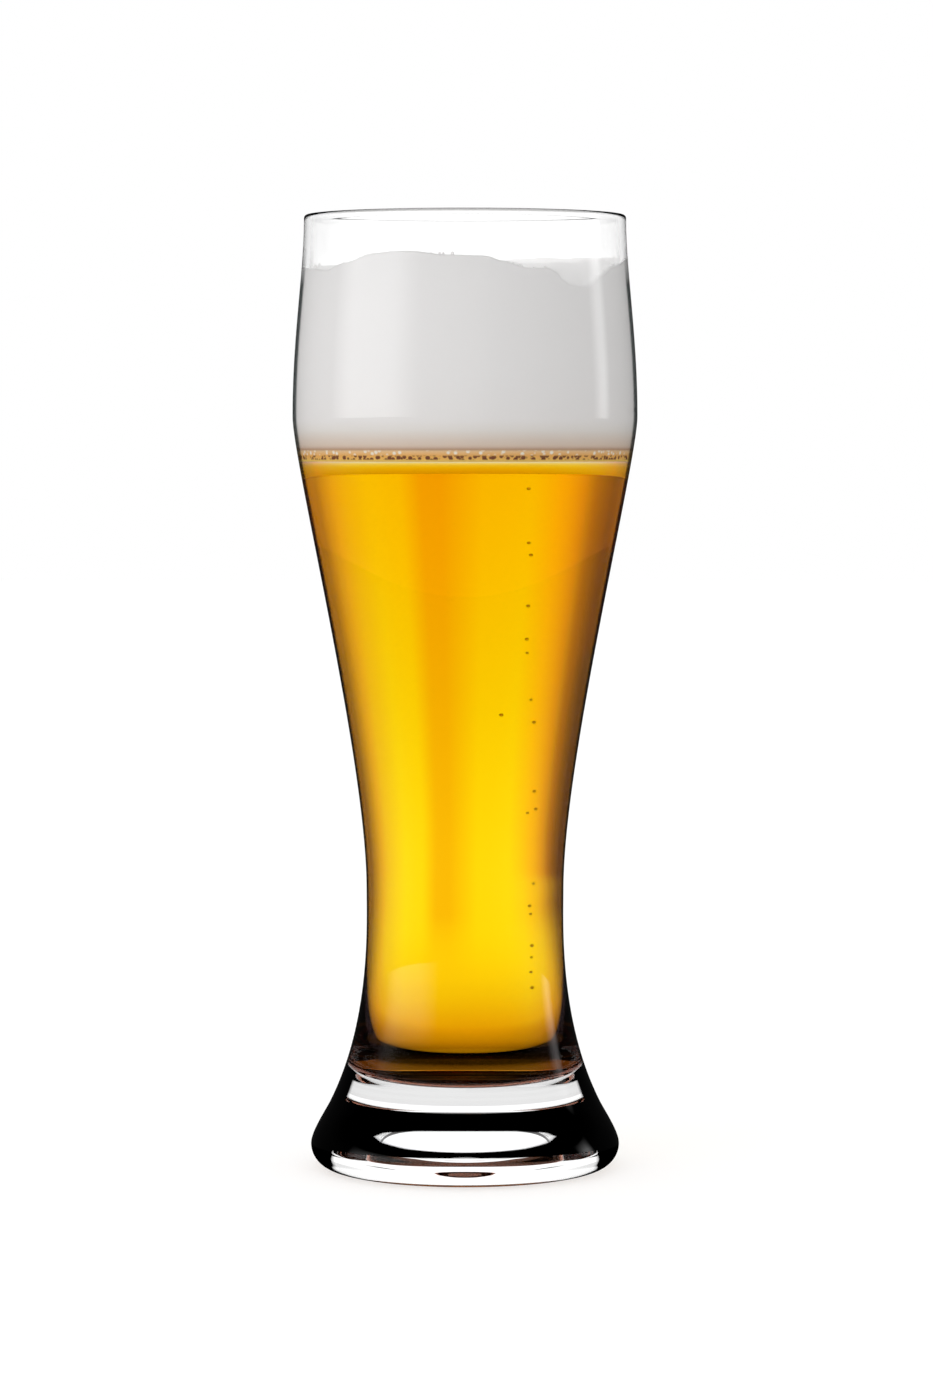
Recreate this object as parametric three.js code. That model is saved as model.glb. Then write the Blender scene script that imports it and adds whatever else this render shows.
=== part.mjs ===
// A footed, waisted half-litre beer glass, filled with beer under a head of foam.
// Millimetres, +Z up, origin at the centre of the ring that the glass stands on.
import * as THREE from "three";

// Outside of the glass
const HEIGHT = 219;
const RIM_RADIUS = 36.8;
const SHOULDER_RADIUS = 39.5;
const SHOULDER_HEIGHT = 173;
const WAIST_RADIUS = 22.7;
const WAIST_HEIGHT = 64.5;
const FLARE_RADIUS = 31.2;
const FLARE_HEIGHT = 15;
const FLARE_DEGREES = 26.5; // lean of the flare's side, from upright
const FOOT_RADIUS = 35.6;
const FOOT_EDGE_HEIGHT = 5.5;

// How far each bend of the outline runs on before it turns
const RIM_SWEEP = 12;
const SHOULDER_SWEEP_UP = 18.4;
const SHOULDER_SWEEP_DOWN = 10.4;
const WAIST_SWEEP_UP = 29.7;
const WAIST_SWEEP_DOWN = 8;
const FLARE_SWEEP = 21.4;
const FOOT_SWEEP = 2.4;

// Underside: the flat ring that it stands on, a groove within it, a low rib, and a shallow hollow in the middle
const RING_RADIUS = 30.1;
const RING_WIDTH = 1.75;
const GROOVE_RADIUS = 21.75;
const GROOVE_DEPTH = 4;
const RIB_RADIUS = 14.65;
const RIB_RISE = 0.15; // the rib stays clear of the table
const PUNT_DEPTH = 2.1;

// How far each bend of the underside runs on before it turns
const PUNT_SWEEP = 16.3;
const RIB_SWEEP_IN = 2.6;
const RIB_SWEEP_OUT = 1.9;
const GROOVE_SWEEP_IN = 2.3;
const GROOVE_SWEEP_OUT = 2.2;
const RING_SWEEP = 1.6;
const RING_SWEEP_RISE = 1.5;

// Wall and inside
const RIM_WALL = 1.6;
const SHOULDER_WALL = 2.2;
const WAIST_WALL = 3.2;
const FLOOR_HEIGHT = 20; // at the edge of the inside floor
const FLOOR_CROWN = 1; // how much higher the floor is in its middle
const HEEL_RADIUS = 21.8; // widest inside, just above the rounded floor corner
const HEEL_ROUND = 3.9;
const HEEL_SWEEP = 12.9;

// Contents
const HEADSPACE = 10.9; // from the rim down to the middle of the foam's top
const HEAD_DEPTH = 45; // from there down to the beer
const CLEARANCE = 0.3; // between the contents and the wall, and between beer and foam
const CREST = 1.5; // how far the foam's top swells up and down
const CREST_LENGTH = 62;
const CREST_SHIFT = 13; // the crest's place, left of the middle
const CLING = 1.2; // how far the foam climbs the wall
const CLING_WIDTH = 7;

const SEGMENTS = 48;
const BEER_LEVEL = HEIGHT - HEADSPACE - HEAD_DEPTH;
const FOAM_TOP = HEIGHT - HEADSPACE;

const at = (radius, height) => new THREE.Vector2(radius, height);

// A smooth run between two places, leaving along one pull and arriving along the other.
function bend(from, pullFrom, pullTo, to) {
  return new THREE.CubicBezierCurve(from, from.clone().add(pullFrom), to.clone().add(pullTo), to);
}

// The points of several runs that follow each other, each with its own number of steps.
function trace(runs) {
  return runs.flatMap(([curve, steps], i) => curve.getPoints(steps).slice(i ? 1 : 0));
}

// The wall of the bowl from its lowest upright place to the rim, drawn in by a wall or a gap at each height.
function bowl(base, baseSweep, waistInset, shoulderInset, rimInset) {
  const waist = at(WAIST_RADIUS - waistInset, WAIST_HEIGHT);
  const shoulder = at(SHOULDER_RADIUS - shoulderInset, SHOULDER_HEIGHT);
  const rim = at(RIM_RADIUS - rimInset, HEIGHT - RIM_WALL / 2);
  return [
    [bend(base, baseSweep, at(0, -WAIST_SWEEP_DOWN), waist), 9],
    [bend(waist, at(0, WAIST_SWEEP_UP), at(0, -SHOULDER_SWEEP_DOWN), shoulder), 14],
    [bend(shoulder, at(0, SHOULDER_SWEEP_UP), at(0, -RIM_SWEEP), rim), 7],
  ];
}

// The inside of the glass from the middle of its floor to the rim, drawn in by a gap all over.
function inside(gap) {
  const floor = FLOOR_HEIGHT + gap;
  const round = HEEL_ROUND - gap;
  const heel = at(HEEL_RADIUS - gap, floor + round);
  const corner = at(heel.x - round, floor);
  const crown = at(0, floor + FLOOR_CROWN);
  return trace([
    [new THREE.QuadraticBezierCurve(crown, at(corner.x / 2, crown.y), corner), 4],
    [new THREE.EllipseCurve(corner.x, heel.y, round, round, -Math.PI / 2, 0), 5],
    ...bowl(heel, at(0, HEEL_SWEEP), WAIST_WALL + gap, SHOULDER_WALL + gap, RIM_WALL + gap),
  ]);
}

// The outside, from the middle of the underside round the foot and up to the rim.
function outside() {
  const lean = THREE.MathUtils.degToRad(FLARE_DEGREES);
  const along = at(-Math.sin(lean), Math.cos(lean));
  const ringInner = at(RING_RADIUS - RING_WIDTH, 0);
  const foot = at(FOOT_RADIUS, FOOT_EDGE_HEIGHT);
  const flare = at(FLARE_RADIUS, FLARE_HEIGHT);
  const punt = at(0, PUNT_DEPTH);
  const rib = at(RIB_RADIUS, RIB_RISE);
  const groove = at(GROOVE_RADIUS, GROOVE_DEPTH);
  return trace([
    [bend(punt, at(PUNT_SWEEP, 0), at(-RIB_SWEEP_IN, 0), rib), 7],
    [bend(rib, at(RIB_SWEEP_OUT, 0), at(-GROOVE_SWEEP_IN, 0), groove), 5],
    [bend(groove, at(GROOVE_SWEEP_OUT, 0), at(-RING_SWEEP, RING_SWEEP_RISE), ringInner), 5],
    [new THREE.LineCurve(ringInner, at(RING_RADIUS, 0)), 1],
    [
      new THREE.EllipseCurve(
        RING_RADIUS, foot.y, foot.x - RING_RADIUS, foot.y, -Math.PI / 2, 0,
      ),
      5,
    ],
    [bend(foot, at(0, FOOT_SWEEP), along.clone().multiplyScalar(-FOOT_SWEEP), flare), 4],
    ...bowl(flare, along.clone().multiplyScalar(FLARE_SWEEP), 0, 0, 0),
  ]);
}

// The place where a wall, followed upwards, reaches a height.
function crossing(wall, height) {
  const i = wall.findIndex((p, k) => k > 0 && wall[k - 1].y < height && p.y >= height);
  const [a, b] = [wall[i - 1], wall[i]];
  return a.clone().lerp(b, (height - a.y) / (b.y - a.y));
}

function revolve(points) {
  return new THREE.LatheGeometry(points, SEGMENTS).rotateX(Math.PI / 2);
}

function glass() {
  const lip = RIM_WALL / 2;
  const rim = trace([
    [new THREE.EllipseCurve(RIM_RADIUS - lip, HEIGHT - lip, lip, lip, 0, Math.PI), 6],
  ]);
  return revolve([...outside(), ...rim.slice(1, -1), ...inside(0).reverse()]);
}

function beer() {
  const wall = inside(CLEARANCE);
  const sides = wall.filter((p) => p.y < BEER_LEVEL);
  return revolve([...sides, crossing(wall, BEER_LEVEL), at(0, BEER_LEVEL)]);
}

// The top of the head: a low crest left of the middle, a hollow on the right, and a lip that clings to the wall.
function swell(x, y, radius) {
  const wave = Math.cos((2 * Math.PI * (x + CREST_SHIFT)) / CREST_LENGTH);
  const cross = Math.cos((2 * Math.PI * y) / CREST_LENGTH);
  const toWall = Math.max(0, 1 - (radius - Math.hypot(x, y)) / CLING_WIDTH);
  return CREST * wave * (0.6 + 0.4 * cross) + CLING * toWall ** 2;
}

function foam() {
  const base = BEER_LEVEL + CLEARANCE;
  const wall = inside(CLEARANCE);
  const sides = wall.filter((p) => p.y > base && p.y < FOAM_TOP);
  const edge = crossing(wall, FOAM_TOP);
  const rings = 8;
  const top = Array.from({ length: rings }, (_, i) => at(edge.x * (1 - (i + 1) / rings), FOAM_TOP));
  const solid = revolve([at(0, base), crossing(wall, base), ...sides, edge, ...top]);
  const place = solid.getAttribute("position");
  for (let i = 0; i < place.count; i++) {
    const [x, y, z] = [place.getX(i), place.getY(i), place.getZ(i)];
    if (z > FOAM_TOP - CLEARANCE) place.setZ(i, z + swell(x, y, edge.x));
  }
  solid.computeVertexNormals();
  return solid;
}

const clear = new THREE.MeshStandardMaterial({
  color: 0xf4f8f7, roughness: 0.02, metalness: 0, transparent: true, opacity: 0.3,
});
const gold = new THREE.MeshStandardMaterial({
  color: 0xf2a602, roughness: 0.05, metalness: 0, transparent: true, opacity: 0.85,
});
const froth = new THREE.MeshStandardMaterial({ color: 0xe4e1df, roughness: 0.85, metalness: 0 });

function piece(name, geometry, material) {
  const mesh = new THREE.Mesh(geometry, material);
  mesh.name = name;
  return mesh;
}

const part = new THREE.Group();
part.add(piece("glass", glass(), clear));
part.add(piece("beer", beer(), gold));
part.add(piece("foam", foam(), froth));

export default part;
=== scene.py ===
"""A filled, footed beer glass on a pale studio floor, laid out as a Blender add-on and run as a script."""

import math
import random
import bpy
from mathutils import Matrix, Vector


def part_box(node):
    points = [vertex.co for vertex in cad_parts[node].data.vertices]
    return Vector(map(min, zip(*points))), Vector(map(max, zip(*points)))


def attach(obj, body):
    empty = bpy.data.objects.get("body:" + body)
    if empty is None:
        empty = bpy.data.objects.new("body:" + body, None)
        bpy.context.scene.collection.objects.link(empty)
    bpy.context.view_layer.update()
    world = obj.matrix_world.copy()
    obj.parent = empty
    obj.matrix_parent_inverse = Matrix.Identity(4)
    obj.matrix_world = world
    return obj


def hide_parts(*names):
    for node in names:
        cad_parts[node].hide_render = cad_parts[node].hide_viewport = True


bl_info = {
    "name": "Filled Beer Glass",
    "version": (1, 0, 0),
    "blender": (4, 5, 0),
    "location": "3D View > Sidebar > Beer Glass",
    "description": "Makes a tall footed beer glass with beer, a foam head and their bubbles",
    "category": "Object",
}

import bpy
from mathutils import Vector, noise

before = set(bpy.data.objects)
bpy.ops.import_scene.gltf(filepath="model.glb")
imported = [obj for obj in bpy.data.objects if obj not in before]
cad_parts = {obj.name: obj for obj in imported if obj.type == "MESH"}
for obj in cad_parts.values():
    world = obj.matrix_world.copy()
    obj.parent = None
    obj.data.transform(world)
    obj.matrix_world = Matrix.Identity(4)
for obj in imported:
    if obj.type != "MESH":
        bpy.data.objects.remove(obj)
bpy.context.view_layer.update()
GLASS_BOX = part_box("glass")
BEER_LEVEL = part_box("beer")[1].z
FOAM_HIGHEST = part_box("foam")[1].z
MM = 0.001


# Sizes and looks that a user would change


def length(name, description, default_mm):
    """A property for a size, given in millimetres and kept in metres."""
    return bpy.props.FloatProperty(
        name=name, description=description, default=default_mm * MM, min=0.0, unit="LENGTH"
    )


def colour(name, description, default):
    """A property for a plain colour."""
    return bpy.props.FloatVectorProperty(
        name=name, description=description, default=default, size=3, min=0.0, subtype="COLOR"
    )


def number(name, description, default):
    """A property for a number without a unit."""
    return bpy.props.FloatProperty(name=name, description=description, default=default)


class GlassSizes(bpy.types.PropertyGroup):
    """The turned outline of the glass and of the hollow in it."""

    height: length("Height", "From the foot to the rim", GLASS_BOX[1].z / MM)
    rim_radius: length("Rim radius", "Outside, just under the rounded rim", 36.8)
    shoulder_radius: length("Shoulder radius", "Widest place", GLASS_BOX[1].x / MM)
    shoulder_height: length("Shoulder height", "Height of the widest place", 173)
    waist_radius: length("Waist radius", "Narrowest place", 22.7)
    waist_height: length("Waist height", "Height of the narrowest place", 64.5)
    flare_radius: length("Flare radius", "Where the flare turns into the foot", 31.2)
    flare_height: length("Flare height", "Height of that place", 15)
    flare_lean: bpy.props.FloatProperty(
        name="Flare lean", description="Lean of the flare's side from upright",
        default=math.radians(26.5), subtype="ANGLE",
    )
    foot_radius: length("Foot radius", "Widest place of the foot", 35.6)
    foot_edge_height: length("Foot edge height", "Height of that place", 5.5)
    ring_radius: length("Ring radius", "Outside of the ring that it stands on", 30.1)
    ring_width: length("Ring width", "Width of that ring", 1.75)
    rib_radius: length("Rib radius", "Of the low rib between the middle hollow and the groove", 14.65)
    rib_rise: length("Rib rise", "How far the rib stays clear of the table", 0.15)
    punt_depth: length("Punt depth", "Depth of the middle hollow under the foot", 2.1)
    groove_radius: length("Groove radius", "Of the deepest place of the groove", 21.75)
    groove_depth: length("Groove depth", "Depth of the groove between the rib and the ring", 4)
    rim_wall: length("Rim wall", "Thickness at the rim", 1.6)
    shoulder_wall: length("Shoulder wall", "Thickness at the shoulder", 2.2)
    waist_wall: length("Waist wall", "Thickness at the waist", 3.2)
    floor_height: length("Floor height", "Height of the inside floor at its edge", 20)
    floor_crown: length("Floor crown", "How far the inside floor rises in its middle", 1)
    heel_radius: length("Heel radius", "Inside radius just above the floor", 21.8)
    heel_round: length("Heel round", "Rounding of the floor's corner", 3.9)
    headspace: length("Headspace", "From the rim down to the middle height of the foam's top", 10.9)
    wetting: length("Wetting", "How far the beer's skin lies in the wall, to leave no air between", 0.05)


class DrinkLooks(bpy.types.PropertyGroup):
    """Colours of the glass and of what is in it, with the painted shade on them."""

    beer_tint: colour("Beer tint", "What beer lets through", (0.985, 0.917, 0.0))
    beer_depth: number("Beer depth", "Strength of the beer's tint for each metre", 150.0)
    # Painted shade: the beer goes browner where it is seen along its wall
    beer_edge_shade: colour("Beer edge", "Tint of beer seen along its wall", (0.3, 0.12, 0.1))
    # Painted shade: the lowest beer darker and browner
    beer_foot_shade: colour("Beer foot", "Tint of the lowest beer", (0.95, 0.66, 0.36))
    foam_colour: colour("Foam", "The head", (0.905, 0.895, 0.89))
    # Painted shade on the foot's dark flanks, in place of the dark surroundings that the thick glass shows
    foot_shade: colour("Foot shade", "Tint of the foot's dark flanks", (0.0, 0.0, 0.0))
    # Painted shade along the glass's wall, where it is seen at a slant
    glass_edge_shade: colour("Glass edge", "Tint of glass seen along its wall", (0.02, 0.025, 0.025))


class StageLooks(bpy.types.PropertyGroup):
    """The studio."""

    backdrop: number("Backdrop", "Brightness of the white surroundings", 1.18)
    dome: number("Dome", "Brightness of the soft light from all round", 1.15)
    key: number("Key lamp", "Power of the large lamp at the left, in watts", 1.2)


def sizes():
    """The glass's sizes, in metres."""
    return bpy.context.scene.beer_glass_sizes


def looks():
    """The colours of glass, beer and foam."""
    return bpy.context.scene.beer_glass_looks


def stage_looks():
    """The brightness of the studio's lights."""
    return bpy.context.scene.beer_glass_stage


# Outlines

# How far each bend of the outline runs on before it turns
RIM_SWEEP = 12 * MM
SHOULDER_SWEEP_UP = 18.4 * MM
SHOULDER_SWEEP_DOWN = 10.4 * MM
WAIST_SWEEP_UP = 29.7 * MM
WAIST_SWEEP_DOWN = 8 * MM
FLARE_SWEEP = 21.4 * MM
FOOT_SWEEP = 2.4 * MM
HEEL_SWEEP = 12.9 * MM

# The same for the underside, as (outwards, up)
PUNT_PULL = (16.3 * MM, 0)
RIB_PULL_IN = (-2.6 * MM, 0)
RIB_PULL_OUT = (1.9 * MM, 0)
GROOVE_PULL_IN = (-2.3 * MM, 0)
GROOVE_PULL_OUT = (2.2 * MM, 0)
RING_PULL = (-1.6 * MM, 1.5 * MM)

# Steps along each stretch of the outline, and round the axis
WALL_STEPS = 36
CROWN_STEPS = 24
HEEL_STEPS = 14
LIP_STEPS = 14
PUNT_STEPS = 24
GROOVE_STEPS_IN = 16
GROOVE_STEPS_OUT = 20
FOOT_STEPS = 16
FLARE_STEPS = 12
GLASS_SEGMENTS = 192
BEER_SEGMENTS = 160
FOAM_SEGMENTS = 240


def bend(start, start_pull, end_pull, end, steps):
    """Places along a smooth run, as (radius, height), from start up to but without end."""
    start, end = Vector(start), Vector(end)
    leave, arrive = start + Vector(start_pull), end + Vector(end_pull)
    made = []
    for i in range(steps):
        t = i / steps
        s = 1 - t
        made.append(start * s**3 + leave * 3 * s * s * t + arrive * 3 * s * t * t + end * t**3)
    return made


def arc(centre, radius_x, radius_y, start, stop, steps):
    """Places along a round stretch, angles in degrees, from start up to but without stop."""
    made = []
    for i in range(steps):
        a = math.radians(start + (stop - start) * i / steps)
        made.append(Vector((centre[0] + radius_x * math.cos(a), centre[1] + radius_y * math.sin(a))))
    return made


def bowl(base, base_pull, waist_inset, shoulder_inset, rim_inset):
    """The wall from its base to the rim, drawn in at each height."""
    s = sizes()
    waist = (s.waist_radius - waist_inset, s.waist_height)
    shoulder = (s.shoulder_radius - shoulder_inset, s.shoulder_height)
    rim = (s.rim_radius - rim_inset, s.height - s.rim_wall / 2)
    return (
        bend(base, base_pull, (0, -WAIST_SWEEP_DOWN), waist, WALL_STEPS)
        + bend(waist, (0, WAIST_SWEEP_UP), (0, -SHOULDER_SWEEP_DOWN), shoulder, WALL_STEPS * 2)
        + bend(shoulder, (0, SHOULDER_SWEEP_UP), (0, -RIM_SWEEP), rim, WALL_STEPS)
        + [Vector(rim)]
    )


def inside(gap):
    """The hollow from the middle of its floor to the rim, drawn in by a gap."""
    s = sizes()
    floor = s.floor_height + gap
    turn = s.heel_round - gap
    heel = (s.heel_radius - gap, floor + turn)
    corner = heel[0] - turn
    crown = []
    for i in range(CROWN_STEPS):
        share = i / CROWN_STEPS
        crown.append(Vector((corner * share, floor + s.floor_crown * (1 - share**2))))
    return (
        crown
        + arc((corner, heel[1]), turn, turn, -90, 0, HEEL_STEPS)
        + bowl(heel, (0, HEEL_SWEEP), s.waist_wall + gap, s.shoulder_wall + gap, s.rim_wall + gap)
    )


def outside():
    """The outside from the middle of the punt round the foot to the rim."""
    s = sizes()
    lean = Vector((-math.sin(s.flare_lean), math.cos(s.flare_lean)))
    ring_inner = (s.ring_radius - s.ring_width, 0)
    foot = (s.foot_radius, s.foot_edge_height)
    flare = (s.flare_radius, s.flare_height)
    rib = (s.rib_radius, s.rib_rise)
    groove = (s.groove_radius, s.groove_depth)
    return (
        bend((0, s.punt_depth), PUNT_PULL, RIB_PULL_IN, rib, PUNT_STEPS)
        + bend(rib, RIB_PULL_OUT, GROOVE_PULL_IN, groove, GROOVE_STEPS_IN)
        + bend(groove, GROOVE_PULL_OUT, RING_PULL, ring_inner, GROOVE_STEPS_OUT)
        + [Vector(ring_inner)]
        + arc((s.ring_radius, foot[1]), foot[0] - s.ring_radius, foot[1], -90, 0, FOOT_STEPS)
        + bend(foot, (0, FOOT_SWEEP), lean * -FOOT_SWEEP, flare, FLARE_STEPS)
        + bowl(flare, lean * FLARE_SWEEP, 0, 0, 0)
    )


def cut(wall, low, high):
    """The part of a rising wall between two heights, with both ends cut level."""
    def level(height):
        i = next(k for k, p in enumerate(wall) if p.y >= height)
        a, b = wall[i - 1], wall[i]
        return a.lerp(b, (height - a.y) / (b.y - a.y))

    return [level(low)] + [p for p in wall if low < p.y < high] + [level(high)]


def revolve(name, section, segments):
    """A closed turned body from a section that starts and ends on the axis."""
    verts = [(0, 0, section[0].y), (0, 0, section[-1].y)]
    rings = section[1:-1]
    for p in rings:
        for k in range(segments):
            a = 2 * math.pi * k / segments
            verts.append((p.x * math.cos(a), p.x * math.sin(a), p.y))
    faces = []
    last = 2 + (len(rings) - 1) * segments
    for k in range(segments):
        n = (k + 1) % segments
        faces.append((0, 2 + n, 2 + k))
        faces.append((1, last + k, last + n))
    for r in range(len(rings) - 1):
        a = 2 + r * segments
        b = a + segments
        for k in range(segments):
            n = (k + 1) % segments
            faces.append((a + k, a + n, b + n, b + k))
    mesh = bpy.data.meshes.new(name)
    mesh.from_pydata(verts, [], faces)
    mesh.shade_smooth()
    mesh.update()
    obj = bpy.data.objects.new(name, mesh)
    bpy.context.scene.collection.objects.link(obj)
    return obj


def finish_piece(obj, material, slot, *nodes):
    """Gives a piece its material and tells the frame where it belongs."""
    obj.data.materials.clear()
    obj.data.materials.append(material)
    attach(obj, "root")
    if nodes:
        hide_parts(*nodes)


# Nodes that the materials and the studio share

WHITE = (1, 1, 1)


def new_material(name):
    """An empty node material, its tree and its output."""
    material = bpy.data.materials.new(name)
    material.use_nodes = True
    tree = material.node_tree
    tree.nodes.clear()
    return material, tree, tree.nodes.new("ShaderNodeOutputMaterial")


def feed(tree, socket, value):
    """Sets a socket to a number or a colour, or links another socket to it."""
    if isinstance(value, tuple):
        socket.default_value = (*value, 1)
    elif isinstance(value, (int, float)):
        socket.default_value = value
    else:
        tree.links.new(value, socket)


def add(tree, kind, **values):
    """A node with values on its named inputs."""
    node = tree.nodes.new(kind)
    for key, value in values.items():
        feed(tree, node.inputs[key.replace("_", " ")], value)
    return node


def maths(tree, operation, *values):
    """A Math node on values that are sockets or plain numbers."""
    node = tree.nodes.new("ShaderNodeMath")
    node.operation = operation
    for slot, value in enumerate(values):
        feed(tree, node.inputs[slot], value)
    return node.outputs[0]


def span(tree, value, start, stop):
    """Nought to one as a value goes from start to stop."""
    node = add(tree, "ShaderNodeMapRange", Value=value, From_Min=start, From_Max=stop)
    return node.outputs["Result"]


def ramp(tree, value, *stops, interpolation="LINEAR"):
    """A colour, or a grey for a plain number, by steps of a value from 0 to 1."""
    node = add(tree, "ShaderNodeValToRGB", Fac=value)
    node.color_ramp.interpolation = interpolation
    elements = node.color_ramp.elements
    elements[0].position = stops[0][0]
    elements[1].position = stops[-1][0]
    for place, _ in stops[1:-1]:
        elements.new(place)
    for element, (_, shade) in zip(elements, stops):
        element.color = (*shade, 1) if isinstance(shade, tuple) else (shade, shade, shade, 1)
    return node.outputs["Color"]


def blend(tree, share, first, second):
    """A mix of two colours."""
    node = tree.nodes.new("ShaderNodeMix")
    node.data_type = "RGBA"
    for name, value in (("Factor", share), ("A", first), ("B", second)):
        feed(tree, node.inputs[name], value)
    return node.outputs["Result"]


def tinted(tree, *colours):
    """Colours multiplied."""
    made = colours[0]
    for tint in colours[1:]:
        made = blend(tree, 1.0, made, tint)
        made.node.blend_type = "MULTIPLY"
    return made


def choose(tree, switch, off, on):
    """One of two shaders."""
    mix = tree.nodes.new("ShaderNodeMixShader")
    for slot, value in enumerate((switch, off, on)):
        tree.links.new(value, mix.inputs[slot])
    return mix.outputs[0]


def ray(tree, fact):
    """What is known of the ray that arrives, such as "Is Camera Ray"."""
    return tree.nodes.new("ShaderNodeLightPath").outputs[fact]


def facing(tree):
    """Nought where a surface is seen squarely, one where it is seen along."""
    return add(tree, "ShaderNodeLayerWeight", Blend=0.5).outputs["Facing"]


def split(tree, kind):
    """X, Y and Z of a place on a piece, for the kind "Object", or of a direction, for "Generated"."""
    source = tree.nodes.new("ShaderNodeTexCoord")
    parts = tree.nodes.new("ShaderNodeSeparateXYZ")
    tree.links.new(source.outputs[kind], parts.inputs[0])
    return [parts.outputs[axis] for axis in "XYZ"]


def height(tree):
    """The height of a place on the piece, in metres."""
    return split(tree, "Object")[2]


def let_shadows_pass(tree, shader, out):
    """Puts a clear shader on the output, with shadows that light passes through."""
    through = tree.nodes.new("ShaderNodeBsdfTransparent")
    both = choose(tree, ray(tree, "Is Shadow Ray"), shader.outputs[0], through.outputs[0])
    tree.links.new(both, out.inputs["Surface"])


# Materials

# How slanted the foot's side may be seen and still be clear, by height in millimetres: the lowest band, the
# lens, the thick glass with painted shade, the upper band, and the wall above; beyond these the foot gets
# painted shade
FOOT_CLEAR = (
    (1, 0.86), (3, 0.62), (5.5, 0.48), (6.5, 0.46), (7.2, 0),
    (8.4, 0), (8.9, 0.1), (9.8, 0.19), (10.9, 0.235), (11.9, 0.2), (12.7, 0.11), (13.2, 0),
    (16.6, 0), (17, 0.56), (23, 0.56), (24, 1),
)
FOOT_CLEAR_TOP = 30
FOOT_CLEAR_SOFT = 0.02

# Heights over which the rim's lip turns grey with painted shade, and over which the wall's painted dark edge
# fades out
LIP_HEIGHTS = (218.1 * MM, 218.6 * MM)
LIP_PAINTED_SHADE = 0.3
EDGE_FADE = (203 * MM, 212 * MM)

# How slanted the wall is seen where its painted dark edge begins, and where it is darkest
EDGE_FROM = 0.76
EDGE_FULL = 0.82

# Heights over which the painted shade of the lowest beer fades out, and that of the head's foot
BEER_FOOT_HEIGHTS = (21 * MM, 54 * MM)
HEAD_FOOT_HEIGHTS = (BEER_LEVEL, BEER_LEVEL + 9 * MM)

# The head's underside, which shows through the beer, glows with painted light: where that glow ends, and how
# strong it is
UNDERSIDE_HEIGHTS = (BEER_LEVEL - 0.04 * MM, BEER_LEVEL - 0.02 * MM)
UNDERSIDE_GLOW = 0.46
UNDERSIDE_COLOUR = (1, 0.95, 0.9)

DARK_SPECK = (0.2, 0.07, 0.03)
PALE_SPECK = (1.0, 0.93, 0.8)
GAS_COLOUR = (0.8, 0.6, 0.4)


def foot_painted_shade(tree):
    """The painted shade on the side where it is seen directly.

    The foot is clear in two bands and a lens, with painted shade on the thick glass between. The rim's lip
    has painted grey shade.
    """
    up = span(tree, height(tree), 0.0, FOOT_CLEAR_TOP * MM)
    limit = ramp(tree, up, *((z / FOOT_CLEAR_TOP, reach) for z, reach in FOOT_CLEAR))
    left = span(tree, maths(tree, "SUBTRACT", limit, facing(tree)), -FOOT_CLEAR_SOFT, FOOT_CLEAR_SOFT)
    # Painted shade: the foot goes dark where it is seen more slanted than its clear limit
    window = ramp(tree, left, (0.0, tuple(looks().foot_shade)), (1.0, 1))
    lip = ramp(tree, span(tree, height(tree), *LIP_HEIGHTS), (0.0, 1), (1.0, LIP_PAINTED_SHADE))
    return blend(tree, ray(tree, "Is Camera Ray"), WHITE, tinted(tree, window, lip))


def clear_glass_material():
    """Clear glass with painted shade where it is seen along its wall and on its foot and lip, that mirrors as
    strongly as each place is marked.
    """
    material, tree, out = new_material("clear_glass")
    # Painted shade: the wall darkens where it is seen along it
    darkest = (EDGE_FULL, tuple(looks().glass_edge_shade))
    edge = ramp(tree, facing(tree), (EDGE_FROM, 1), darkest, interpolation="EASE")
    edge = blend(tree, span(tree, height(tree), *EDGE_FADE), edge, WHITE)
    mirror = tree.nodes.new("ShaderNodeAttribute")
    mirror.attribute_name = "mirror"
    shader = add(
        tree, "ShaderNodeBsdfPrincipled", Roughness=0.0, IOR=1.52, Transmission_Weight=1.0,
        Base_Color=tinted(tree, edge, foot_painted_shade(tree)),
        Specular_Tint=ramp(tree, mirror.outputs["Fac"], (0.0, 0), (1.0, 1)),
    )
    let_shadows_pass(tree, shader, out)
    return material


def beer_material():
    """Clear gold, deeper with depth, with painted brown shade along its wall and at its foot."""
    material, tree, out = new_material("beer")
    # Painted shade: browner where the beer is seen along its wall
    edge = ramp(
        tree, facing(tree),
        (0.11, 1), (0.148, (0.97, 0.87, 0.9)), (0.186, (0.93, 0.72, 0.8)), (0.22, (0.84, 0.52, 0.6)),
        (0.25, (0.64, 0.36, 0.4)), (0.3, tuple(looks().beer_edge_shade)),
    )
    # Painted shade: the beer darker and browner towards its foot
    low = ramp(
        tree, span(tree, height(tree), *BEER_FOOT_HEIGHTS),
        (0.0, tuple(looks().beer_foot_shade)), (0.03, (0.5, 0.26, 0.13)), (0.11, (0.6, 0.33, 0.2)),
        (0.18, (0.66, 0.36, 0.3)), (0.32, (0.75, 0.52, 0.6)), (0.46, (0.84, 0.68, 0.85)),
        (0.6, (0.92, 0.82, 1)), (0.76, (0.98, 0.93, 1)), (1.0, 1),
    )
    shader = add(
        tree, "ShaderNodeBsdfPrincipled", Roughness=0.0, IOR=1.34, Transmission_Weight=1.0,
        Base_Color=tinted(tree, edge, low), Specular_Tint=(0, 0, 0),
    )
    let_shadows_pass(tree, shader, out)
    tint = tuple(looks().beer_tint)
    depth = add(tree, "ShaderNodeVolumeAbsorption", Density=looks().beer_depth, Color=tint)
    tree.links.new(depth.outputs[0], out.inputs["Volume"])
    return material


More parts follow.
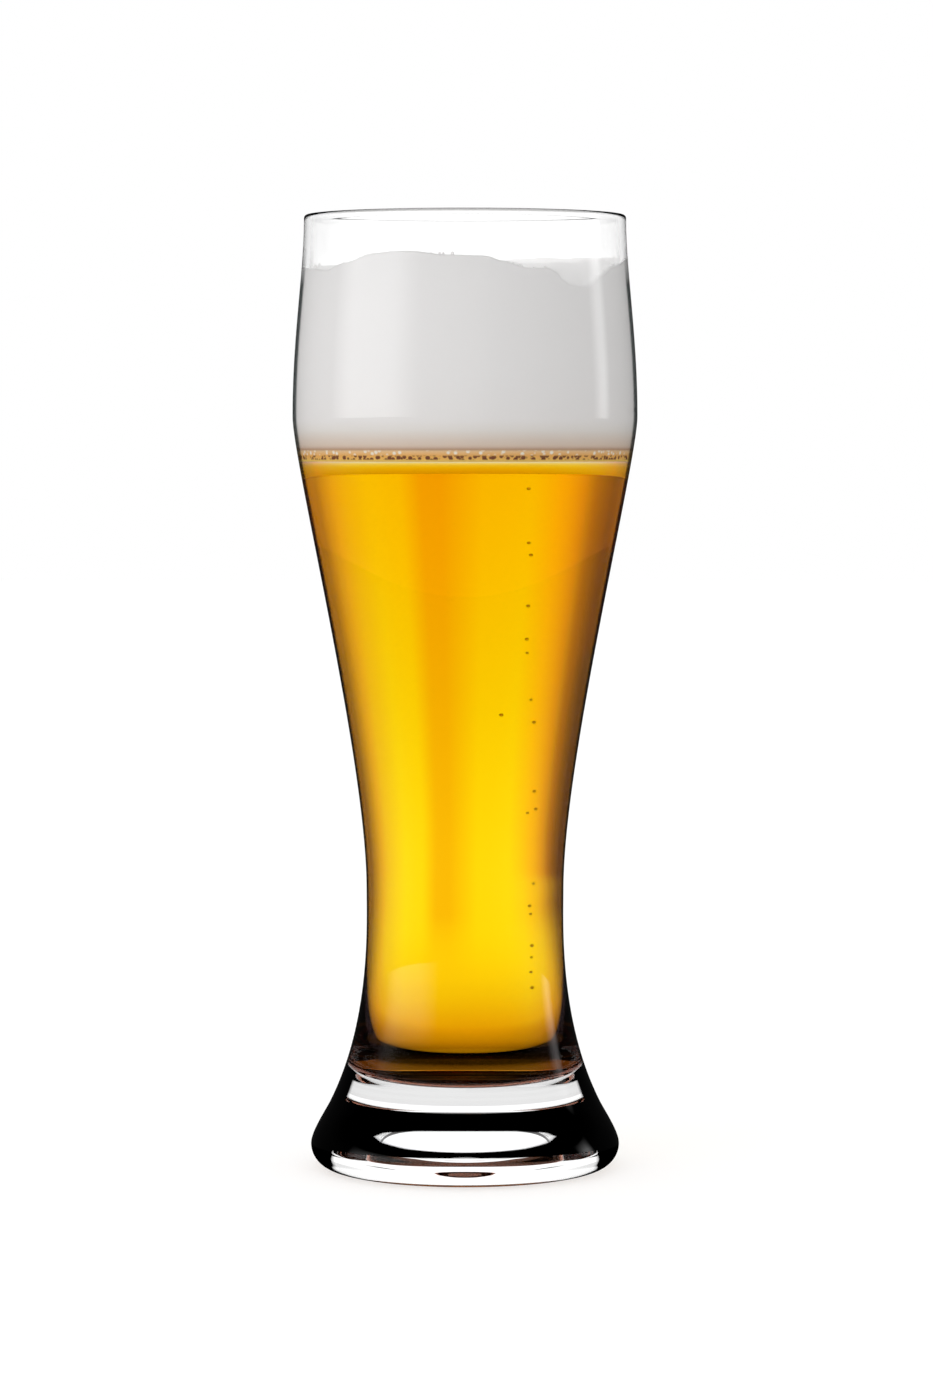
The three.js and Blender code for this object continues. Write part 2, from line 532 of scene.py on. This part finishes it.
def specks(tree, up, low, high, full, scale, sharp, soft):
    """Small bubbles in a band of heights over the beer, in millimetres: one in each, nought between them."""
    share = span(tree, up, BEER_LEVEL + low * MM, BEER_LEVEL + high * MM)
    band = ramp(tree, share, (0.0, 0), (full, 1), (0.7, 1), (1.0, 0))
    place = tree.nodes.new("ShaderNodeTexCoord")
    cells = add(tree, "ShaderNodeTexVoronoi", Vector=place.outputs["Object"], Scale=scale)
    spots = ramp(tree, cells.outputs["Distance"], (sharp, 1), (soft, 0))
    return maths(tree, "MULTIPLY", band, spots)


def foam_material():
    """White froth, apricot and brown at its foot where beer shows through, with dark and pale bubbles, and an
    underside that glows with painted light.
    """
    material, tree, out = new_material("foam")
    up = height(tree)
    body = ramp(
        tree, span(tree, up, *HEAD_FOOT_HEIGHTS),
        (0.0, (0.98, 0.72, 0.14)), (0.06, (0.93, 0.55, 0.14)), (0.14, (0.94, 0.5, 0.125)),
        (0.25, (0.9, 0.62, 0.33)), (0.3, (0.56, 0.36, 0.24)), (0.36, (0.74, 0.59, 0.48)),
        (0.42, (0.79, 0.67, 0.57)), (0.775, (0.87, 0.85, 0.82)), (1.0, tuple(looks().foam_colour)),
    )
    dark = specks(tree, up, low=0.3, high=1.5, full=0.2, scale=1000, sharp=0.45, soft=0.62)
    pale = specks(tree, up, low=1.3, high=2.6, full=0.3, scale=750, sharp=0.25, soft=0.42)
    body = blend(tree, dark, body, DARK_SPECK)
    body = blend(tree, pale, body, PALE_SPECK)
    # Painted light: the underside glows as if lit from below
    under = ramp(tree, span(tree, up, *UNDERSIDE_HEIGHTS), (0.0, UNDERSIDE_GLOW), (1.0, 0))
    shader = add(
        tree, "ShaderNodeBsdfPrincipled", Roughness=0.85, Base_Color=body,
        Emission_Color=UNDERSIDE_COLOUR, Emission_Strength=under,
    )
    tree.links.new(shader.outputs[0], out.inputs["Surface"])
    return material


def bubble_material():
    """Gas in beer: light bends at it as it does at a hole."""
    material, tree, out = new_material("gas")
    shader = add(
        tree, "ShaderNodeBsdfPrincipled", Roughness=0.0, IOR=0.75, Transmission_Weight=1.0,
        Base_Color=GAS_COLOUR,
    )
    tree.links.new(shader.outputs[0], out.inputs["Surface"])
    return material


# Glass and beer

# Where the glass mirrors less: round the flare's foot, where the thick glass looks dark, and at the waist
DIP_HEIGHT = 26 * MM
DIP_REACH = 4 * MM
DIP_FADE = 8 * MM
WAIST_MIRROR = 0.4
WAIST_FROM = 50 * MM
WAIST_FADE = 60 * MM
WET_FLOOR_RADIUS = 19 * MM  # of the inside floor, which the beer wets

# Corners of the beer sharper than this stay sharp, which keeps its level top flat
BEER_SHARP = math.radians(60)
SLIVER = 1e-7  # how far over its lowest place the beer's side is cut


def clamp(value, low, high):
    """A value kept between two others."""
    return min(high, max(low, value))


def mark_mirror(obj):
    """Marks how strongly each place mirrors: not where beer wets the wall, and less down at the waist."""
    mirror = obj.data.attributes.new("mirror", "FLOAT", "POINT")
    for v in obj.data.vertices:
        outward = v.normal.x * v.co.x + v.normal.y * v.co.y
        on_floor = v.normal.z > 0 and v.co.xy.length < WET_FLOOR_RADIUS
        if sizes().floor_height < v.co.z < BEER_LEVEL and (outward < 0 or on_floor):
            mirror.data[v.index].value = 0.0
        else:
            dip = clamp((abs(v.co.z - DIP_HEIGHT) - DIP_REACH) / DIP_FADE, 0.0, 1.0)
            mirror.data[v.index].value = dip * clamp((v.co.z - WAIST_FROM) / WAIST_FADE, WAIST_MIRROR, 1.0)


class MakeGlass(bpy.types.Operator):
    """Turns the glass with its foot, wall and rim"""

    bl_idname = "beer_glass.make_glass"
    bl_label = "Make Glass"

    def execute(self, context):
        s = sizes()
        lip = s.rim_wall / 2
        rim = arc((s.rim_radius - lip, s.height - lip), lip, lip, 0, 180, LIP_STEPS)
        section = outside()[:-1] + rim + inside(0)[::-1]
        obj = revolve("glass_body", section, GLASS_SEGMENTS)
        mark_mirror(obj)
        finish_piece(obj, clear_glass_material(), "clear_glass", "glass")
        return {"FINISHED"}


class PourBeer(bpy.types.Operator):
    """Fills the glass with beer up to its level"""

    bl_idname = "beer_glass.pour_beer"
    bl_label = "Pour Beer"

    def execute(self, context):
        wall = inside(-sizes().wetting)
        bottom = min(range(len(wall)), key=lambda i: wall[i].y)
        sides = cut(wall[bottom:], wall[bottom].y + SLIVER, BEER_LEVEL)
        section = wall[:bottom] + sides + [Vector((0, BEER_LEVEL))]
        obj = revolve("beer_body", section, BEER_SEGMENTS)
        obj.data.set_sharp_from_angle(angle=BEER_SHARP)
        finish_piece(obj, beer_material(), "beer", "beer")
        return {"FINISHED"}


# Head

# Height of the foam's top over its mean in millimetres, by degrees from the front towards +X:
# a few millimetres inside the wall, and at the wall itself where the head has sunk in one place
HEAD_TOP = (
    (-180, 1.0), (-155, 0.2), (-130, -0.8), (-105, -1.0), (-88, -1.2), (-70, -1.6), (-58, -2.3),
    (-47, -0.7), (-34, 1.1), (-22, 1.5), (-7, 0.7), (7, 0.45), (14, -0.6), (25, -1.6), (37, -1.1),
    (48, -0.9), (62, 0.2), (84, 0.9), (110, 0.5), (135, -0.4), (160, 0.7), (180, 1.0),
)
HEAD_WALL = (
    (-180, 0.8), (-155, 0.0), (-130, -1.6), (-105, -0.8), (-88, -1.2), (-70, -1.8), (-58, -2.4),
    (-47, -0.8), (-34, 1.1), (-22, 1.5), (-7, 0.6), (7, 0.3), (14, -0.9), (23, -2.3), (31, -2.3),
    (34, -3.1), (37, -5.1), (40, -6.1), (48, -6.3), (57, -3.6), (65, -1.4), (84, 0.8), (110, 0.5),
    (135, -0.9), (160, 0.6), (180, 0.8),
)
HEAD_EDGE = 4.5 * MM  # from the wall in, where the one height turns into the other
HEAD_FOLD = 14 * MM  # how far down the wall the skin of the head gives way to its uneven top
HEAD_RINGS = 44
HEAD_WETTING = 0.8  # share of the beer's wetting that the head's skin lies in the wall
HEAD_SPARE = 0.02 * MM  # how far its highest place stays under that of the solid

# The froth's lumps: how wide they are and how high
BROAD_LUMP = (5 * MM, 0.35 * MM)
FINE_LUMP = (1.6 * MM, 0.16 * MM)
FINE_LAYER = 0.01  # another layer of the same noise
WALL_LUMPS = 0.4  # share of the lumps that shows at the wall

NEAR = 1e-6  # closer than this counts as the same place


def eased(t):
    """Nought to one, with a slow start and a slow end."""
    return t * t * (3 - 2 * t)


def along(places, turn):
    """A smooth height at a turn, from places that run once round."""
    for (a, low), (b, high) in zip(places, places[1:]):
        if a <= turn <= b:
            return (low + (high - low) * eased((turn - a) / (b - a))) * MM
    return places[-1][1] * MM


def lumps(x, y):
    """The fine unevenness of the froth's top."""
    broad = noise.noise(Vector((x, y, 0)) / BROAD_LUMP[0])
    fine = noise.noise(Vector((x, y, FINE_LAYER)) / FINE_LUMP[0])
    return BROAD_LUMP[1] * broad + FINE_LUMP[1] * fine


class MakeHead(bpy.types.Operator):
    """Sets the head of foam on the beer"""

    bl_idname = "beer_glass.make_head"
    bl_label = "Make Head"

    def execute(self, context):
        s = sizes()
        base = BEER_LEVEL - s.wetting
        top = s.height - s.headspace
        fold = top - HEAD_FOLD
        highest = FOAM_HIGHEST - HEAD_SPARE
        wall = inside(-HEAD_WETTING * s.wetting)
        sides = cut(wall, base, top)
        edge = sides[-1].x
        cap = [Vector((edge * (1 - (i + 1) / HEAD_RINGS), top)) for i in range(HEAD_RINGS)]
        obj = revolve("foam_head", [Vector((0, base))] + sides + cap, FOAM_SEGMENTS)
        for v in obj.data.vertices:
            turn = math.degrees(math.atan2(v.co.x, -v.co.y))
            radius = v.co.xy.length
            if v.co.z > top - NEAR and radius < edge - NEAR:
                share = eased(min(1.0, (edge - radius) / HEAD_EDGE))
                rise = along(HEAD_TOP, turn) * (radius / edge) + lumps(v.co.x, v.co.y)
                v.co.z = min(highest, top + along(HEAD_WALL, turn) * (1 - share) + rise * share)
            elif v.co.z > fold:
                end = top + along(HEAD_WALL, turn) + WALL_LUMPS * lumps(v.co.x, v.co.y)
                v.co.z = fold + (v.co.z - fold) * (min(highest, end) - fold) / HEAD_FOLD
                reach = cut(wall, base, v.co.z)[-1].x / radius
                v.co.x, v.co.y = v.co.x * reach, v.co.y * reach
        finish_piece(obj, foam_material(), "foam", "foam")
        return {"FINISHED"}


# Bubbles

# A string of bubbles that rises on the right, as (x, y, height) in millimetres
STRING = (
    (10.9, 0.5, 158.4), (10.9, 0.8, 146), (11.3, 0.6, 143.2), (10.9, 0, 131.4), (10.7, -0.4, 123.7),
    (10.7, 0.2, 120.5), (11.3, 0.9, 109.6), (6.1, 2, 106.1), (11.9, 0.4, 104.3), (12.1, -0.3, 88.1),
    (12.3, 0.2, 83.9), (10.7, 0.9, 83), (11.9, 0.4, 66.1), (11.3, -0.2, 61), (11.4, 0.3, 59.1),
    (11.6, 0.6, 51.5), (11.6, 0.1, 48.7), (11.5, 0.2, 45.1), (11.7, 0.4, 41.2),
)
STRING_RADII = (0.24 * MM, 0.36 * MM)
STRING_SEED = 3

# Bubbles that cling to the head's edge, by millimetres over its height at the wall and in from the wall
CLINGING = 150
CLINGING_RADII = (0.2 * MM, 0.42 * MM)
CLINGING_SEED = 11
CLINGING_PLACES_SEED = 7
CLINGING_RISE = (-0.5, 0.3)
CLINGING_INSET = (0.5, 1.4)
CLINGING_SPARE = 0.5 * MM  # how far they stay under the solid's highest place

BALL_SUBDIVISIONS = 3


def bubble_nodes():
    """A node group that sets a ball at each place it is given, with sizes that differ."""
    group = bpy.data.node_groups.new("bubbles", "GeometryNodeTree")
    for name, kind in (
        ("Geometry", "NodeSocketGeometry"), ("Smallest", "NodeSocketFloat"), ("Largest", "NodeSocketFloat"),
        ("Seed", "NodeSocketInt"), ("Material", "NodeSocketMaterial"),
    ):
        group.interface.new_socket(name, in_out="INPUT", socket_type=kind)
    group.interface.new_socket("Geometry", in_out="OUTPUT", socket_type="NodeSocketGeometry")
    nodes, link = group.nodes, group.links.new
    given = nodes.new("NodeGroupInput")
    points = nodes.new("GeometryNodeMeshToPoints")
    ball = nodes.new("GeometryNodeMeshIcoSphere")
    ball.inputs["Subdivisions"].default_value = BALL_SUBDIVISIONS
    size = nodes.new("FunctionNodeRandomValue")
    place = nodes.new("GeometryNodeInstanceOnPoints")
    real = nodes.new("GeometryNodeRealizeInstances")
    smooth = nodes.new("GeometryNodeSetShadeSmooth")
    material = nodes.new("GeometryNodeSetMaterial")
    made = nodes.new("NodeGroupOutput")
    link(given.outputs["Geometry"], points.inputs["Mesh"])
    link(points.outputs[0], place.inputs["Points"])
    link(ball.outputs["Mesh"], place.inputs["Instance"])
    link(given.outputs["Smallest"], size.inputs[2])
    link(given.outputs["Largest"], size.inputs[3])
    link(given.outputs["Seed"], size.inputs["Seed"])
    link(size.outputs[1], place.inputs["Scale"])
    link(place.outputs[0], real.inputs[0])
    link(real.outputs[0], smooth.inputs[0])
    link(smooth.outputs[0], material.inputs["Geometry"])
    link(given.outputs["Material"], material.inputs["Material"])
    link(material.outputs[0], made.inputs[0])
    return group


def set_bubbles(name, places, radii, seed, material, slot):
    """Bubbles at given places, made by the node group and kept as a plain mesh."""
    mesh = bpy.data.meshes.new(name)
    mesh.from_pydata(places, [], [])
    obj = bpy.data.objects.new(name, mesh)
    bpy.context.scene.collection.objects.link(obj)
    modifier = obj.modifiers.new("bubbles", "NODES")
    modifier.node_group = bubble_nodes()
    given = {"Smallest": radii[0], "Largest": radii[1], "Seed": seed, "Material": material}
    for item in modifier.node_group.interface.items_tree:
        if item.in_out == "INPUT" and item.name in given:
            modifier[item.identifier] = given[item.name]
    obj.update_tag()
    depsgraph = bpy.context.evaluated_depsgraph_get()
    depsgraph.update()
    made = bpy.data.meshes.new_from_object(obj.evaluated_get(depsgraph), depsgraph=depsgraph)
    obj.modifiers.remove(modifier)
    obj.data = made
    finish_piece(obj, material, slot)


def clinging_places():
    """Places all round the head's edge, close under its top and close to the wall."""
    s = sizes()
    pick = random.Random(CLINGING_PLACES_SEED)
    wall = inside(0)
    places = []
    for _ in range(CLINGING):
        turn = pick.uniform(-180, 180)
        up = s.height - s.headspace + along(HEAD_WALL, turn) + pick.uniform(*CLINGING_RISE) * MM
        up = min(up, FOAM_HIGHEST - CLINGING_SPARE)
        out = cut(wall, BEER_LEVEL, up)[-1].x - pick.uniform(*CLINGING_INSET) * MM
        a = math.radians(turn)
        places.append(Vector((out * math.sin(a), -out * math.cos(a), up)))
    return places


class MakeBubbles(bpy.types.Operator):
    """Sets the bubbles that rise in the beer and those that cling to the edge of the head"""

    bl_idname = "beer_glass.make_bubbles"
    bl_label = "Make Bubbles"

    def execute(self, context):
        rising = [Vector(place) * MM for place in STRING]
        set_bubbles("rising_bubbles", rising, STRING_RADII, STRING_SEED, bubble_material(), "beer")
        froth = bpy.data.materials["foam"]
        set_bubbles("edge_bubbles", clinging_places(), CLINGING_RADII, CLINGING_SEED, froth, "foam")
        return {"FINISHED"}


# Stage

CAMERA_DISTANCE = 1.060
CAMERA_HEIGHT = 0.171
CAMERA_SIDE = 0.00034
CAMERA_TILT = math.radians(3.405)
CAMERA_LENS = 118.7

KEY_PLACE = (-0.55, -0.5, 0.45)
KEY_SIZE = (0.5, 0.7)
KEY_AIM = (0, 0, 0.12)

# Surfaces that a ray passes: 2 in the solid foot, 4 in the headspace, 6 through the beer
MORE_THAN_FOOT = 2.5
MORE_THAN_CLEAR = 4.5

# The white panels all round, as the beer and the clear wall show them: lit up to one height,
# and dark from another, as sines of the angle over the floor
PANELS_LIT = (math.sin(math.radians(21.2)), 1)
PANELS_DARK = (math.sin(math.radians(24.2)), 0.01)
# The same as the solid foot shows them
STEEP_LIT = (0.56, 1)
STEEP_DARK = (0.72, 0.15)
MIRROR_LEFT = 0.03  # what is left of a ray mirrored inside the glass and then seen through beer

# What the glass mirrors, by degrees from the back towards +X: a soft box at the left, a strip at the right
UNLIT = 0.005
MIRRORED_ROUND = (
    (-150, UNLIT), (-128, 1), (-98, 1), (-80, UNLIT),
    (67, UNLIT), (73, 1), (77, 1), (85, UNLIT), (180, UNLIT),
)
MIRRORED_RISE = ((0.0, 0), (0.52, 1), (0.74, 1), (0.9, 0))
SOFT_BOX = 2.2

DOME_RIGHT = 0.8  # how bright the dome is at the right, for 1 at the left

FLOOR_REACH = 4.0
FLOOR_GREY = (0.5, 0.5, 0.5)
FLOOR_GLOW = 0.515

# The floor as seen through glass and beer: a painted shadow under the glass, lighter with the distance from
# the axis
SHADE_EDGE = 39.6 * MM
BEER_SHADOW_EDGE = 24 * MM
SHADE_END = 93 * MM
SHADE_CURVE = 0.7
BEER_SHADOW_CURVE = 0.8
CLEAR_LEAST = 0.7  # its least brightness through clear glass
STRIP_FADE = (0.15, 0.7)  # distances over which the amber strip and the darker end fade in on it
END_FADE = (0.15, 1.1)
FLOOR_MIRRORED = 0.011  # how bright it is as the glass mirrors it, at the back
FLOOR_MIRRORED_TURNS = ((0.3, 1), (0.36, 0.01))  # and on the way from the back to the front


def make_key_lamp(scene):
    """A soft rectangular lamp that faces the glass, which neither mirrors it nor shows it."""
    data = bpy.data.lights.new("key", "AREA")
    data.shape = "RECTANGLE"
    data.size, data.size_y = KEY_SIZE
    data.energy = stage_looks().key
    obj = bpy.data.objects.new("key", data)
    scene.collection.objects.link(obj)
    obj.visible_glossy = False
    obj.visible_transmission = False
    obj.location = KEY_PLACE
    aim = Vector(KEY_AIM) - Vector(KEY_PLACE)
    obj.rotation_euler = aim.to_track_quat("-Z", "Y").to_euler()


def make_camera(scene):
    """The camera of the photo's view, nearly level with the beer."""
    data = bpy.data.cameras.new("camera")
    data.lens = CAMERA_LENS
    camera = bpy.data.objects.new("camera", data)
    scene.collection.objects.link(camera)
    camera.location = (CAMERA_SIDE, -CAMERA_DISTANCE, CAMERA_HEIGHT)
    camera.rotation_euler = (math.pi / 2 - CAMERA_TILT, 0, 0)
    scene.camera = camera


def glow(tree, kind, value, strength=1.0):
    """An even light from a colour or a socket."""
    return add(tree, kind, Color=value, Strength=strength).outputs[0]


def ray_kinds(tree):
    """Switches for rays that passed through a piece and for mirrored ones, with nothing matt on their way."""
    clear = maths(tree, "LESS_THAN", ray(tree, "Diffuse Depth"), 0.5)
    through = maths(tree, "MULTIPLY", ray(tree, "Is Transmission Ray"), clear)
    mirrored = maths(tree, "MULTIPLY", ray(tree, "Is Glossy Ray"), clear)
    return through, mirrored


def through_foot(tree):
    """A switch for rays that passed no more than solid glass."""
    return maths(tree, "LESS_THAN", ray(tree, "Transmission Depth"), MORE_THAN_FOOT)


def through_beer(tree):
    """A switch for rays that passed beer."""
    return maths(tree, "GREATER_THAN", ray(tree, "Transmission Depth"), MORE_THAN_CLEAR)


def mirrored_in_beer(tree):
    """Brightness left to a ray that was mirrored inside the glass and went through the beer."""
    mirrored = maths(tree, "GREATER_THAN", ray(tree, "Glossy Depth"), 0.5)
    both = maths(tree, "MULTIPLY", mirrored, through_beer(tree))
    return ramp(tree, both, (0.0, 1), (1.0, MIRROR_LEFT))


def round_panels(tree, turn):
    """Brightness of the white panels at the back, front and sides, with dusk in the corners between."""
    corner = math.pi / 4
    share = maths(tree, "DIVIDE", maths(tree, "PINGPONG", turn, corner), corner)
    return ramp(tree, share, (0.4, 1), (0.7, 0.93), (1.0, 0.6))


def turn_ramp(tree, turn, *stops):
    """A tint by direction, in degrees from the back panel's middle: only the beer shows it."""
    first, last = stops[0][0], stops[-1][0]
    share = span(tree, turn, math.radians(first), math.radians(last))
    tint = ramp(tree, share, *(((degrees - first) / (last - first), shade) for degrees, shade in stops))
    return blend(tree, through_beer(tree), WHITE, tint)


def warm_strip(tree, turn):
    """The tint of an amber strip beside the middle of the back panel."""
    strip = (0.94, 0.71, 0.62)
    return turn_ramp(tree, turn, (-3, 1), (4, strip), (7.5, strip), (11.5, 1))


def dusky_end(tree, turn):
    """The tint of the back panel's ends, which are darker and redder on one side."""
    pale = (0.98, 0.85, 0.9)
    return turn_ramp(
        tree, turn,
        (-80, 1), (-50, (0.42, 0.3, 0.4)), (-37, (0.42, 0.28, 0.35)), (-33, (0.46, 0.28, 0.35)),
        (-31, (0.52, 0.31, 0.4)), (-28.5, (0.65, 0.42, 0.5)), (-27, (0.77, 0.47, 0.6)),
        (-23, (0.92, 0.62, 0.7)), (-19, (1, 0.73, 0.85)), (-12, 1), (18, 1), (32, pale), (60, pale), (80, 1),
    )


def mirrored_studio(tree, turn, rise):
    """What the glass mirrors: a soft box at the left and a strip at the right."""
    place = maths(tree, "MULTIPLY_ADD", turn, 0.5 / math.pi, 0.5)
    bright = ramp(tree, place, *((degrees / 360 + 0.5, shade) for degrees, shade in MIRRORED_ROUND))
    return tinted(tree, bright, ramp(tree, span(tree, rise, -0.5, 0.5), *MIRRORED_RISE))


def floor_light(tree, away, turn, near):
    """Colour of the floor as seen through glass and beer, with a painted shadow by distance from the axis,
    and by direction.
    """
    # Painted shadow on the floor as the beer shows it, darker near the axis
    beer_floor_shadow = maths(tree, "POWER", span(tree, away, BEER_SHADOW_EDGE, SHADE_END), BEER_SHADOW_CURVE)
    lit = blend(tree, through_beer(tree), maths(tree, "MAXIMUM", near, CLEAR_LEAST), beer_floor_shadow)
    strip = blend(tree, span(tree, away, *STRIP_FADE), WHITE, warm_strip(tree, turn))
    end = blend(tree, span(tree, away, *END_FADE), WHITE, dusky_end(tree, turn))
    dusk = blend(tree, through_foot(tree), round_panels(tree, turn), WHITE)
    return tinted(tree, lit, mirrored_in_beer(tree), strip, dusk, end)


def floor_material():
    """Matt grey that glows a little, and that glass and beer show as part of the studio."""
    material, tree, out = new_material("floor")
    x, y, _ = split(tree, "Object")
    turn = maths(tree, "ARCTAN2", x, y)
    away = maths(tree, "SQRT", maths(tree, "MULTIPLY_ADD", x, x, maths(tree, "MULTIPLY", y, y)))
    # Painted shadow: the floor darker near the glass's axis
    near = maths(tree, "POWER", span(tree, away, SHADE_EDGE, SHADE_END), SHADE_CURVE)
    plain = tree.nodes.new("ShaderNodeAddShader")
    matt = add(tree, "ShaderNodeBsdfDiffuse", Color=FLOOR_GREY)
    tree.links.new(matt.outputs[0], plain.inputs[0])
    kind = "ShaderNodeEmission"
    tree.links.new(glow(tree, kind, WHITE, FLOOR_GLOW), plain.inputs[1])
    seen = glow(tree, kind, floor_light(tree, away, turn, near), stage_looks().backdrop)
    share = maths(tree, "DIVIDE", maths(tree, "ABSOLUTE", turn), math.pi)
    back = maths(tree, "MULTIPLY", near, ramp(tree, share, *FLOOR_MIRRORED_TURNS))
    through, mirrored = ray_kinds(tree)
    first = choose(tree, mirrored, plain.outputs[0], glow(tree, kind, back, FLOOR_MIRRORED))
    tree.links.new(choose(tree, through, first, seen), out.inputs["Surface"])
    return material


def make_floor(scene):
    """A level floor, which keeps the glass's shadow."""
    mesh = bpy.data.meshes.new("floor")
    r = FLOOR_REACH
    mesh.from_pydata([(-r, -r, 0), (r, -r, 0), (r, r, 0), (-r, r, 0)], [], [(0, 1, 2, 3)])
    mesh.materials.append(floor_material())
    floor = bpy.data.objects.new("floor", mesh)
    scene.collection.objects.link(floor)


def make_world(scene):
    """White to the camera, panels to what is seen through the glass, and a soft dome to everything else."""
    world = bpy.data.worlds.new("studio")
    scene.world = world
    world.use_nodes = True
    tree = world.node_tree
    tree.nodes.clear()
    out = tree.nodes.new("ShaderNodeOutputWorld")
    x, y, rise = split(tree, "Generated")
    turn = maths(tree, "ARCTAN2", x, y)
    panels = tinted(
        tree, round_panels(tree, turn), warm_strip(tree, turn), dusky_end(tree, turn), mirrored_in_beer(tree),
        ramp(tree, rise, PANELS_LIT, PANELS_DARK),
    )
    panels = blend(tree, through_foot(tree), panels, ramp(tree, rise, STEEP_LIT, STEEP_DARK))
    sides = ramp(tree, span(tree, x, -1, 1), (0.0, 1), (1.0, DOME_RIGHT))
    kind = "ShaderNodeBackground"
    seen = glow(tree, kind, panels, stage_looks().backdrop)
    studio = glow(tree, kind, mirrored_studio(tree, turn, rise), SOFT_BOX)
    dome = glow(tree, kind, sides, stage_looks().dome)
    through, mirrored = ray_kinds(tree)
    lit = choose(tree, through, choose(tree, mirrored, dome, studio), seen)
    shown = choose(tree, ray(tree, "Is Camera Ray"), lit, glow(tree, kind, WHITE))
    tree.links.new(shown, out.inputs["Surface"])


class SetStage(bpy.types.Operator):
    """Sets the camera, the floor, the world and the key lamp"""

    bl_idname = "beer_glass.set_stage"
    bl_label = "Set Stage"

    def execute(self, context):
        scene = context.scene
        scene.view_settings.view_transform = "Standard"
        make_camera(scene)
        make_floor(scene)
        make_world(scene)
        make_key_lamp(scene)
        return {"FINISHED"}


class BeerGlassPanel(bpy.types.Panel):
    """Lists what makes the glass"""

    bl_idname = "VIEW3D_PT_beer_glass"
    bl_label = "Beer Glass"
    bl_space_type = "VIEW_3D"
    bl_region_type = "UI"
    bl_category = "Beer Glass"

    def draw(self, context):
        for operator in OPERATORS:
            self.layout.operator(operator.bl_idname)
        for group in (sizes(), looks(), stage_looks()):
            box = self.layout.box()
            for name in group.__annotations__:
                box.prop(group, name)


OPERATORS = (MakeGlass, PourBeer, MakeHead, MakeBubbles, SetStage)
CLASSES = (GlassSizes, DrinkLooks, StageLooks, *OPERATORS, BeerGlassPanel)


def register():
    """Registers the classes and gives the scene its settings."""
    for cls in CLASSES:
        bpy.utils.register_class(cls)
    scene = bpy.types.Scene
    scene.beer_glass_sizes = bpy.props.PointerProperty(type=GlassSizes)
    scene.beer_glass_looks = bpy.props.PointerProperty(type=DrinkLooks)
    scene.beer_glass_stage = bpy.props.PointerProperty(type=StageLooks)


def unregister():
    """Takes the settings and the classes away again."""
    for name in ("beer_glass_sizes", "beer_glass_looks", "beer_glass_stage"):
        delattr(bpy.types.Scene, name)
    for cls in reversed(CLASSES):
        bpy.utils.unregister_class(cls)


def main():
    """Makes the pieces and the stage."""
    register()
    bpy.ops.beer_glass.make_glass()
    bpy.ops.beer_glass.pour_beer()
    bpy.ops.beer_glass.make_head()
    bpy.ops.beer_glass.make_bubbles()
    bpy.ops.beer_glass.set_stage()


if __name__ == "__main__":
    main()
